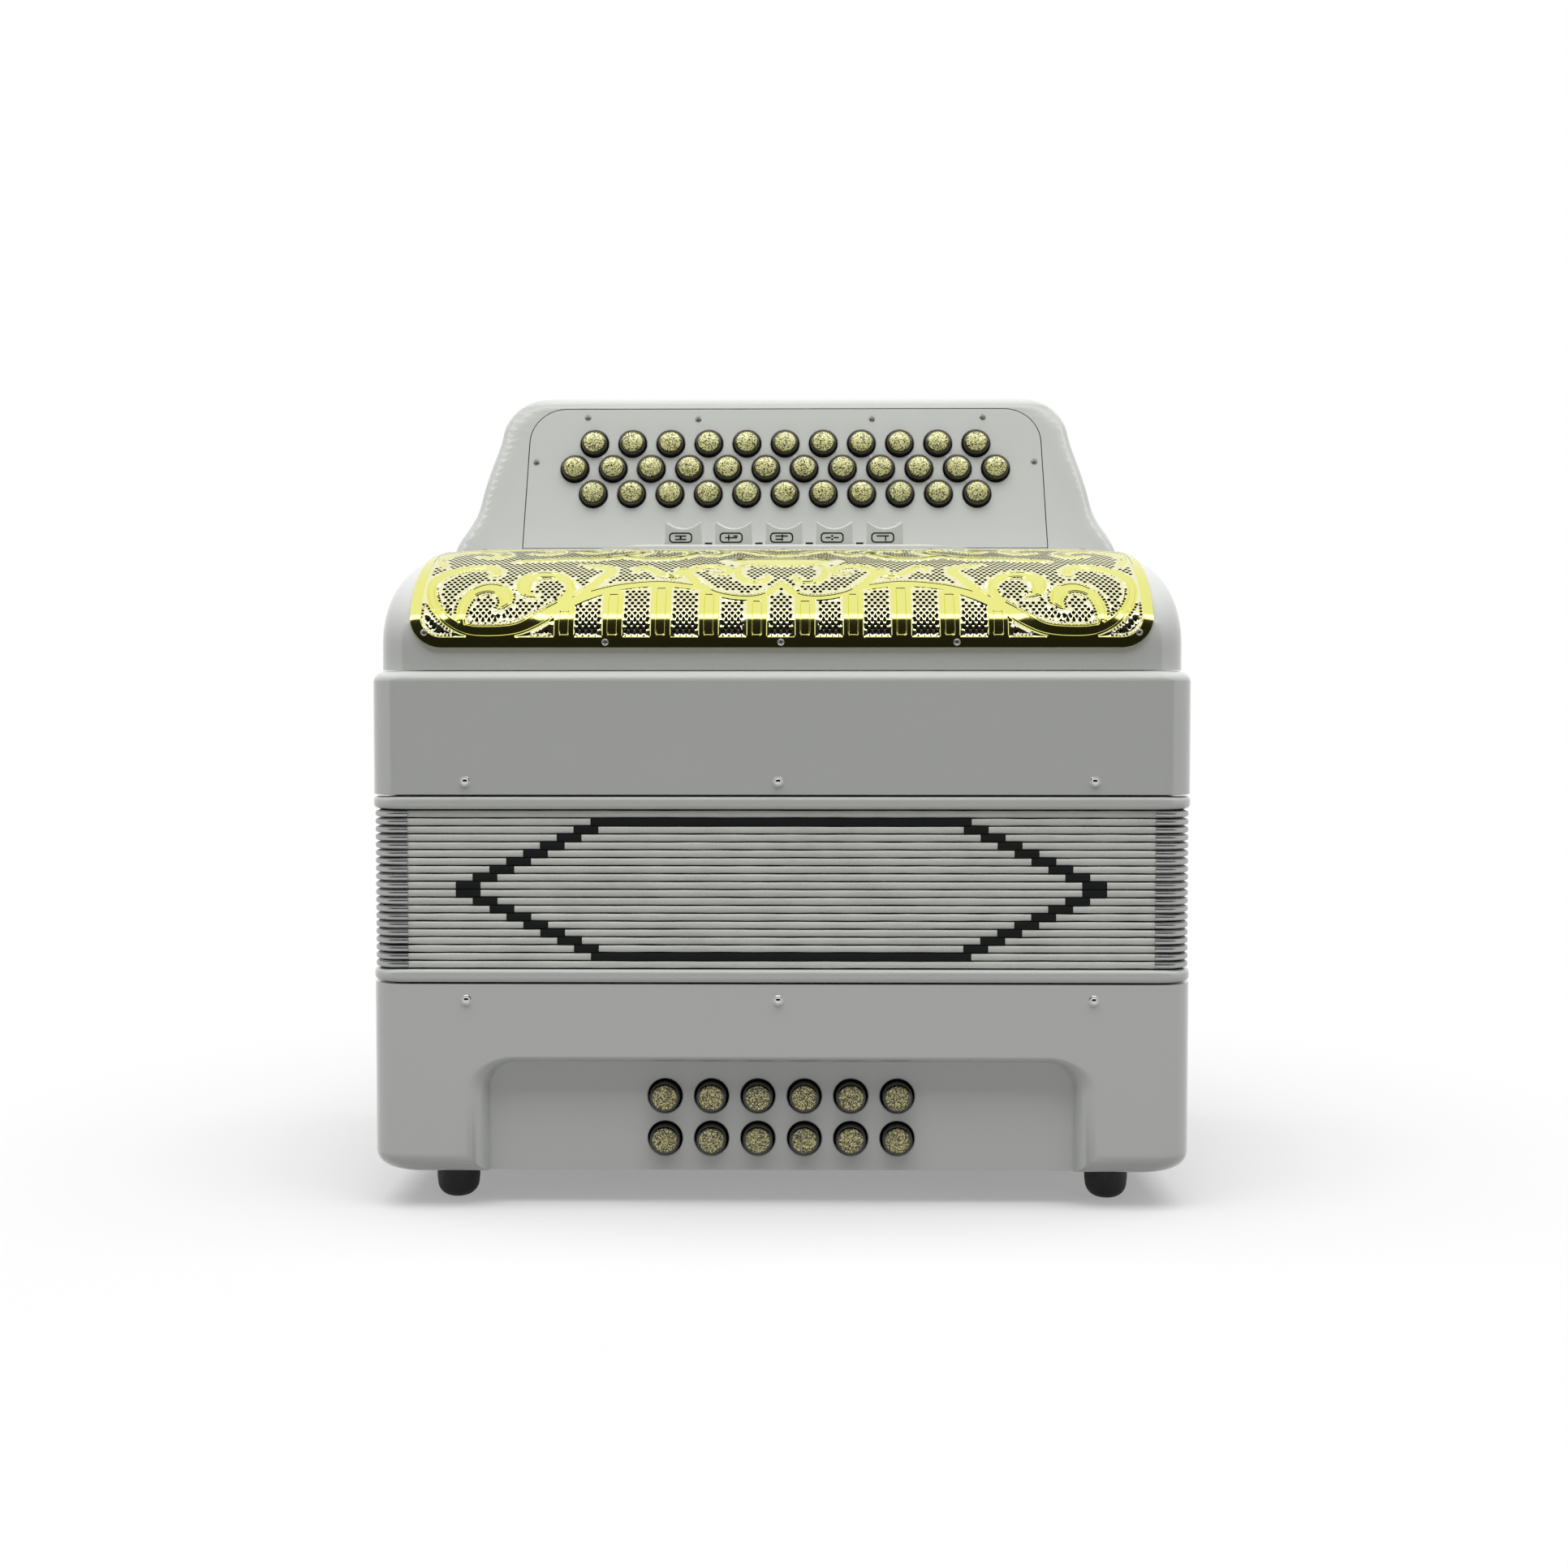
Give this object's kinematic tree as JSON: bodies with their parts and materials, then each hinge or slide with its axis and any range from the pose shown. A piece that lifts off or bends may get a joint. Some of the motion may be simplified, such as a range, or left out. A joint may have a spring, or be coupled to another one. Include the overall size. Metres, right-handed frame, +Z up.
{
  "type": "diatonic accordion",
  "caption": "Button accordion standing on its bass end, with drawn bellows, a pierced grille, a leaning fingerboard, register tabs and bass buttons.",
  "frame": {"origin": "centre of the box round the object, on the surface that its feet stand on", "axes": "+X to the right seen from the audience, +Y from the audience towards the player, +Z up from the bass end to the treble end"},
  "size_m": [0.3052, 0.1802, 0.3249],
  "materials": {
    "white_lacquer": "gloss white celluloid over wood",
    "gold_plate": "polished pale gold plate",
    "gold_glitter": "gold glitter set in clear gloss plastic",
    "olive_glitter": "duller gold glitter set in clear gloss plastic",
    "bellows_cloth": "off-white bound cloth over card",
    "black_plastic": "satin black plastic"
  },
  "bodies": {
    "bass_end": {"bass_case": "white_lacquer", "bass_bellows_frame": "white_lacquer", "bellows": "bellows_cloth"},
    "treble_end": {"treble_bellows_frame": "white_lacquer", "treble_case": "white_lacquer", "treble_cover": "white_lacquer", "grille": "gold_plate", "fingerboard_plate": "white_lacquer"},
    "treble_button_01": {"treble_button_01": "gold_glitter"},
    "treble_button_02": {"treble_button_02": "gold_glitter"},
    "treble_button_03": {"treble_button_03": "gold_glitter"},
    "treble_button_04": {"treble_button_04": "gold_glitter"},
    "treble_button_05": {"treble_button_05": "gold_glitter"},
    "treble_button_06": {"treble_button_06": "gold_glitter"},
    "treble_button_07": {"treble_button_07": "gold_glitter"},
    "treble_button_08": {"treble_button_08": "gold_glitter"},
    "treble_button_09": {"treble_button_09": "gold_glitter"},
    "treble_button_10": {"treble_button_10": "gold_glitter"},
    "treble_button_11": {"treble_button_11": "gold_glitter"},
    "treble_button_12": {"treble_button_12": "gold_glitter"},
    "treble_button_13": {"treble_button_13": "gold_glitter"},
    "treble_button_14": {"treble_button_14": "gold_glitter"},
    "treble_button_15": {"treble_button_15": "gold_glitter"},
    "treble_button_16": {"treble_button_16": "gold_glitter"},
    "treble_button_17": {"treble_button_17": "gold_glitter"},
    "treble_button_18": {"treble_button_18": "gold_glitter"},
    "treble_button_19": {"treble_button_19": "gold_glitter"},
    "treble_button_20": {"treble_button_20": "gold_glitter"},
    "treble_button_21": {"treble_button_21": "gold_glitter"},
    "treble_button_22": {"treble_button_22": "gold_glitter"},
    "treble_button_23": {"treble_button_23": "gold_glitter"},
    "treble_button_24": {"treble_button_24": "gold_glitter"},
    "treble_button_25": {"treble_button_25": "gold_glitter"},
    "treble_button_26": {"treble_button_26": "gold_glitter"},
    "treble_button_27": {"treble_button_27": "gold_glitter"},
    "treble_button_28": {"treble_button_28": "gold_glitter"},
    "treble_button_29": {"treble_button_29": "gold_glitter"},
    "treble_button_30": {"treble_button_30": "gold_glitter"},
    "treble_button_31": {"treble_button_31": "gold_glitter"},
    "treble_button_32": {"treble_button_32": "gold_glitter"},
    "treble_button_33": {"treble_button_33": "gold_glitter"},
    "treble_button_34": {"treble_button_34": "gold_glitter"},
    "bass_button_01": {"bass_button_01": "olive_glitter"},
    "bass_button_02": {"bass_button_02": "olive_glitter"},
    "bass_button_03": {"bass_button_03": "olive_glitter"},
    "bass_button_04": {"bass_button_04": "olive_glitter"},
    "bass_button_05": {"bass_button_05": "olive_glitter"},
    "bass_button_06": {"bass_button_06": "olive_glitter"},
    "bass_button_07": {"bass_button_07": "olive_glitter"},
    "bass_button_08": {"bass_button_08": "olive_glitter"},
    "bass_button_09": {"bass_button_09": "olive_glitter"},
    "bass_button_10": {"bass_button_10": "olive_glitter"},
    "bass_button_11": {"bass_button_11": "olive_glitter"},
    "bass_button_12": {"bass_button_12": "olive_glitter"},
    "register_1": {"register_1": "white_lacquer"},
    "register_2": {"register_2": "white_lacquer"},
    "register_3": {"register_3": "white_lacquer"},
    "register_4": {"register_4": "white_lacquer"},
    "register_5": {"register_5": "white_lacquer"},
    "air_button": {"air_button": "black_plastic"}
  },
  "joints": [
    {"name": "bellows_draw", "type": "slide", "parent": "bass_end", "child": "treble_end", "axis": [0, 0, 1], "range_m": [0, 0.3], "deforming": ["bellows"]},
    {"name": "treble_button_01_press", "type": "slide", "parent": "treble_end", "child": "treble_button_01", "axis": [0, 0.9659, -0.2588], "range_m": [0, 0.0026], "stiffness_N_per_m": 150, "springref_m": -0.005},
    {"name": "treble_button_02_press", "type": "slide", "parent": "treble_end", "child": "treble_button_02", "axis": [0, 0.9659, -0.2588], "range_m": [0, 0.0026], "stiffness_N_per_m": 150, "springref_m": -0.005},
    {"name": "treble_button_03_press", "type": "slide", "parent": "treble_end", "child": "treble_button_03", "axis": [0, 0.9659, -0.2588], "range_m": [0, 0.0026], "stiffness_N_per_m": 150, "springref_m": -0.005},
    {"name": "treble_button_04_press", "type": "slide", "parent": "treble_end", "child": "treble_button_04", "axis": [0, 0.9659, -0.2588], "range_m": [0, 0.0026], "stiffness_N_per_m": 150, "springref_m": -0.005},
    {"name": "treble_button_05_press", "type": "slide", "parent": "treble_end", "child": "treble_button_05", "axis": [0, 0.9659, -0.2588], "range_m": [0, 0.0026], "stiffness_N_per_m": 150, "springref_m": -0.005},
    {"name": "treble_button_06_press", "type": "slide", "parent": "treble_end", "child": "treble_button_06", "axis": [0, 0.9659, -0.2588], "range_m": [0, 0.0026], "stiffness_N_per_m": 150, "springref_m": -0.005},
    {"name": "treble_button_07_press", "type": "slide", "parent": "treble_end", "child": "treble_button_07", "axis": [0, 0.9659, -0.2588], "range_m": [0, 0.0026], "stiffness_N_per_m": 150, "springref_m": -0.005},
    {"name": "treble_button_08_press", "type": "slide", "parent": "treble_end", "child": "treble_button_08", "axis": [0, 0.9659, -0.2588], "range_m": [0, 0.0026], "stiffness_N_per_m": 150, "springref_m": -0.005},
    {"name": "treble_button_09_press", "type": "slide", "parent": "treble_end", "child": "treble_button_09", "axis": [0, 0.9659, -0.2588], "range_m": [0, 0.0026], "stiffness_N_per_m": 150, "springref_m": -0.005},
    {"name": "treble_button_10_press", "type": "slide", "parent": "treble_end", "child": "treble_button_10", "axis": [0, 0.9659, -0.2588], "range_m": [0, 0.0026], "stiffness_N_per_m": 150, "springref_m": -0.005},
    {"name": "treble_button_11_press", "type": "slide", "parent": "treble_end", "child": "treble_button_11", "axis": [0, 0.9659, -0.2588], "range_m": [0, 0.0026], "stiffness_N_per_m": 150, "springref_m": -0.005},
    {"name": "treble_button_12_press", "type": "slide", "parent": "treble_end", "child": "treble_button_12", "axis": [0, 0.9659, -0.2588], "range_m": [0, 0.0026], "stiffness_N_per_m": 150, "springref_m": -0.005},
    {"name": "treble_button_13_press", "type": "slide", "parent": "treble_end", "child": "treble_button_13", "axis": [0, 0.9659, -0.2588], "range_m": [0, 0.0026], "stiffness_N_per_m": 150, "springref_m": -0.005},
    {"name": "treble_button_14_press", "type": "slide", "parent": "treble_end", "child": "treble_button_14", "axis": [0, 0.9659, -0.2588], "range_m": [0, 0.0026], "stiffness_N_per_m": 150, "springref_m": -0.005},
    {"name": "treble_button_15_press", "type": "slide", "parent": "treble_end", "child": "treble_button_15", "axis": [0, 0.9659, -0.2588], "range_m": [0, 0.0026], "stiffness_N_per_m": 150, "springref_m": -0.005},
    {"name": "treble_button_16_press", "type": "slide", "parent": "treble_end", "child": "treble_button_16", "axis": [0, 0.9659, -0.2588], "range_m": [0, 0.0026], "stiffness_N_per_m": 150, "springref_m": -0.005},
    {"name": "treble_button_17_press", "type": "slide", "parent": "treble_end", "child": "treble_button_17", "axis": [0, 0.9659, -0.2588], "range_m": [0, 0.0026], "stiffness_N_per_m": 150, "springref_m": -0.005},
    {"name": "treble_button_18_press", "type": "slide", "parent": "treble_end", "child": "treble_button_18", "axis": [0, 0.9659, -0.2588], "range_m": [0, 0.0026], "stiffness_N_per_m": 150, "springref_m": -0.005},
    {"name": "treble_button_19_press", "type": "slide", "parent": "treble_end", "child": "treble_button_19", "axis": [0, 0.9659, -0.2588], "range_m": [0, 0.0026], "stiffness_N_per_m": 150, "springref_m": -0.005},
    {"name": "treble_button_20_press", "type": "slide", "parent": "treble_end", "child": "treble_button_20", "axis": [0, 0.9659, -0.2588], "range_m": [0, 0.0026], "stiffness_N_per_m": 150, "springref_m": -0.005},
    {"name": "treble_button_21_press", "type": "slide", "parent": "treble_end", "child": "treble_button_21", "axis": [0, 0.9659, -0.2588], "range_m": [0, 0.0026], "stiffness_N_per_m": 150, "springref_m": -0.005},
    {"name": "treble_button_22_press", "type": "slide", "parent": "treble_end", "child": "treble_button_22", "axis": [0, 0.9659, -0.2588], "range_m": [0, 0.0026], "stiffness_N_per_m": 150, "springref_m": -0.005},
    {"name": "treble_button_23_press", "type": "slide", "parent": "treble_end", "child": "treble_button_23", "axis": [0, 0.9659, -0.2588], "range_m": [0, 0.0026], "stiffness_N_per_m": 150, "springref_m": -0.005},
    {"name": "treble_button_24_press", "type": "slide", "parent": "treble_end", "child": "treble_button_24", "axis": [0, 0.9659, -0.2588], "range_m": [0, 0.0026], "stiffness_N_per_m": 150, "springref_m": -0.005},
    {"name": "treble_button_25_press", "type": "slide", "parent": "treble_end", "child": "treble_button_25", "axis": [0, 0.9659, -0.2588], "range_m": [0, 0.0026], "stiffness_N_per_m": 150, "springref_m": -0.005},
    {"name": "treble_button_26_press", "type": "slide", "parent": "treble_end", "child": "treble_button_26", "axis": [0, 0.9659, -0.2588], "range_m": [0, 0.0026], "stiffness_N_per_m": 150, "springref_m": -0.005},
    {"name": "treble_button_27_press", "type": "slide", "parent": "treble_end", "child": "treble_button_27", "axis": [0, 0.9659, -0.2588], "range_m": [0, 0.0026], "stiffness_N_per_m": 150, "springref_m": -0.005},
    {"name": "treble_button_28_press", "type": "slide", "parent": "treble_end", "child": "treble_button_28", "axis": [0, 0.9659, -0.2588], "range_m": [0, 0.0026], "stiffness_N_per_m": 150, "springref_m": -0.005},
    {"name": "treble_button_29_press", "type": "slide", "parent": "treble_end", "child": "treble_button_29", "axis": [0, 0.9659, -0.2588], "range_m": [0, 0.0026], "stiffness_N_per_m": 150, "springref_m": -0.005},
    {"name": "treble_button_30_press", "type": "slide", "parent": "treble_end", "child": "treble_button_30", "axis": [0, 0.9659, -0.2588], "range_m": [0, 0.0026], "stiffness_N_per_m": 150, "springref_m": -0.005},
    {"name": "treble_button_31_press", "type": "slide", "parent": "treble_end", "child": "treble_button_31", "axis": [0, 0.9659, -0.2588], "range_m": [0, 0.0026], "stiffness_N_per_m": 150, "springref_m": -0.005},
    {"name": "treble_button_32_press", "type": "slide", "parent": "treble_end", "child": "treble_button_32", "axis": [0, 0.9659, -0.2588], "range_m": [0, 0.0026], "stiffness_N_per_m": 150, "springref_m": -0.005},
    {"name": "treble_button_33_press", "type": "slide", "parent": "treble_end", "child": "treble_button_33", "axis": [0, 0.9659, -0.2588], "range_m": [0, 0.0026], "stiffness_N_per_m": 150, "springref_m": -0.005},
    {"name": "treble_button_34_press", "type": "slide", "parent": "treble_end", "child": "treble_button_34", "axis": [0, 0.9659, -0.2588], "range_m": [0, 0.0026], "stiffness_N_per_m": 150, "springref_m": -0.005},
    {"name": "bass_button_01_press", "type": "slide", "parent": "bass_end", "child": "bass_button_01", "axis": [0, 1, 0], "range_m": [0, 0.0035], "stiffness_N_per_m": 150, "springref_m": -0.005},
    {"name": "bass_button_02_press", "type": "slide", "parent": "bass_end", "child": "bass_button_02", "axis": [0, 1, 0], "range_m": [0, 0.0035], "stiffness_N_per_m": 150, "springref_m": -0.005},
    {"name": "bass_button_03_press", "type": "slide", "parent": "bass_end", "child": "bass_button_03", "axis": [0, 1, 0], "range_m": [0, 0.0035], "stiffness_N_per_m": 150, "springref_m": -0.005},
    {"name": "bass_button_04_press", "type": "slide", "parent": "bass_end", "child": "bass_button_04", "axis": [0, 1, 0], "range_m": [0, 0.0035], "stiffness_N_per_m": 150, "springref_m": -0.005},
    {"name": "bass_button_05_press", "type": "slide", "parent": "bass_end", "child": "bass_button_05", "axis": [0, 1, 0], "range_m": [0, 0.0035], "stiffness_N_per_m": 150, "springref_m": -0.005},
    {"name": "bass_button_06_press", "type": "slide", "parent": "bass_end", "child": "bass_button_06", "axis": [0, 1, 0], "range_m": [0, 0.0035], "stiffness_N_per_m": 150, "springref_m": -0.005},
    {"name": "bass_button_07_press", "type": "slide", "parent": "bass_end", "child": "bass_button_07", "axis": [0, 1, 0], "range_m": [0, 0.0035], "stiffness_N_per_m": 150, "springref_m": -0.005},
    {"name": "bass_button_08_press", "type": "slide", "parent": "bass_end", "child": "bass_button_08", "axis": [0, 1, 0], "range_m": [0, 0.0035], "stiffness_N_per_m": 150, "springref_m": -0.005},
    {"name": "bass_button_09_press", "type": "slide", "parent": "bass_end", "child": "bass_button_09", "axis": [0, 1, 0], "range_m": [0, 0.0035], "stiffness_N_per_m": 150, "springref_m": -0.005},
    {"name": "bass_button_10_press", "type": "slide", "parent": "bass_end", "child": "bass_button_10", "axis": [0, 1, 0], "range_m": [0, 0.0035], "stiffness_N_per_m": 150, "springref_m": -0.005},
    {"name": "bass_button_11_press", "type": "slide", "parent": "bass_end", "child": "bass_button_11", "axis": [0, 1, 0], "range_m": [0, 0.0035], "stiffness_N_per_m": 150, "springref_m": -0.005},
    {"name": "bass_button_12_press", "type": "slide", "parent": "bass_end", "child": "bass_button_12", "axis": [0, 1, 0], "range_m": [0, 0.0035], "stiffness_N_per_m": 150, "springref_m": -0.005},
    {"name": "air_button_press", "type": "slide", "parent": "bass_end", "child": "air_button", "axis": [0, 0, 1], "range_m": [0, 0.002], "stiffness_N_per_m": 300, "springref_m": -0.004},
    {"name": "register_1_rock", "type": "hinge", "parent": "treble_end", "child": "register_1", "pos_m": [-0.0426, 0.022, 0.2504], "axis": [-1, 0, 0], "range_deg": [0, 11]},
    {"name": "register_2_rock", "type": "hinge", "parent": "treble_end", "child": "register_2", "pos_m": [-0.0213, 0.022, 0.2504], "axis": [-1, 0, 0], "range_deg": [0, 11]},
    {"name": "register_3_rock", "type": "hinge", "parent": "treble_end", "child": "register_3", "pos_m": [0, 0.022, 0.2504], "axis": [-1, 0, 0], "range_deg": [0, 11]},
    {"name": "register_4_rock", "type": "hinge", "parent": "treble_end", "child": "register_4", "pos_m": [0.0213, 0.022, 0.2504], "axis": [-1, 0, 0], "range_deg": [0, 11]},
    {"name": "register_5_rock", "type": "hinge", "parent": "treble_end", "child": "register_5", "pos_m": [0.0426, 0.022, 0.2504], "axis": [-1, 0, 0], "range_deg": [0, 11]}
  ]
}
